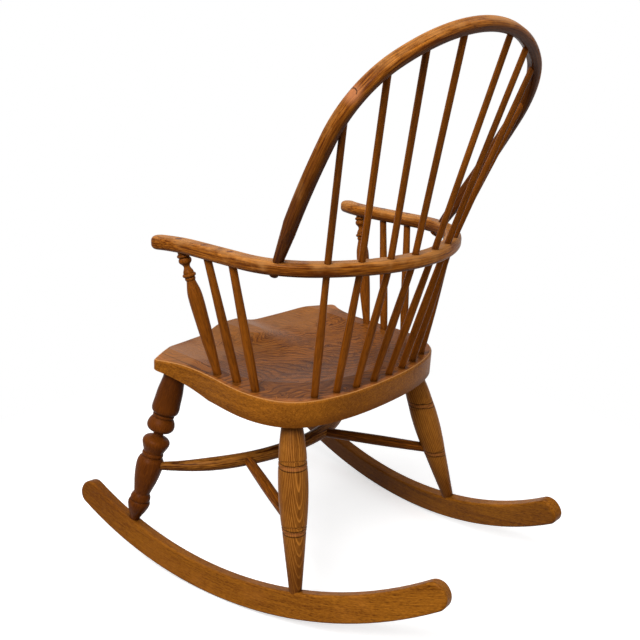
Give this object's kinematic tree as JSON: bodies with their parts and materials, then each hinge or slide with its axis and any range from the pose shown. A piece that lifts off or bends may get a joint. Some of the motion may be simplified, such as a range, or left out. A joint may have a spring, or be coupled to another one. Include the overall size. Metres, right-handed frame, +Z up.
{
  "type": "hoop back rocking chair",
  "caption": "Windsor rocking armchair with a saddled plank seat, bent arm bow and back hoop filled with sticks, turned splayed legs, crinoline stretcher and curved runners.",
  "frame": {"origin": "on the floor, midway along the runners and on the plane of symmetry", "axes": "+Z up, -Y the way the sitter faces, +X the sitter's left"},
  "size_m": [0.6732, 0.8336, 1.0728],
  "materials": {
    "seat_wood": "satin varnish",
    "wedge_wood": "satin varnish",
    "bow_wood": "satin varnish",
    "rocker_wood": "satin varnish",
    "turned_wood": "satin varnish",
    "leg_wood": "satin varnish",
    "stretcher_wood": "satin varnish",
    "stick_wood": "satin varnish"
  },
  "bodies": {
    "root": {"arm_bow": "bow_wood", "arm_stick_front_left": "stick_wood", "arm_stick_front_right": "stick_wood", "arm_stick_rear_left": "stick_wood", "arm_stick_rear_right": "stick_wood", "arm_support_left": "turned_wood", "arm_support_right": "turned_wood", "back_hoop": "bow_wood", "back_stick_left_1": "stick_wood", "back_stick_left_2": "stick_wood", "back_stick_left_3": "stick_wood", "back_stick_left_4": "stick_wood", "back_stick_right_1": "stick_wood", "back_stick_right_2": "stick_wood", "back_stick_right_3": "stick_wood", "back_stick_right_4": "stick_wood", "crinoline_stretcher": "stretcher_wood", "front_leg_left": "turned_wood", "front_leg_right": "turned_wood", "rear_leg_left": "leg_wood", "rear_leg_right": "leg_wood", "rocker_left": "rocker_wood", "rocker_right": "rocker_wood", "seat": "seat_wood", "spur_stretcher_left": "stretcher_wood", "spur_stretcher_right": "stretcher_wood", "wedge_arm_stick_front_left": "wedge_wood", "wedge_arm_stick_front_right": "wedge_wood", "wedge_arm_stick_rear_left": "wedge_wood", "wedge_arm_stick_rear_right": "wedge_wood", "wedge_arm_support_left": "wedge_wood", "wedge_arm_support_right": "wedge_wood"}
  },
  "joints": []
}
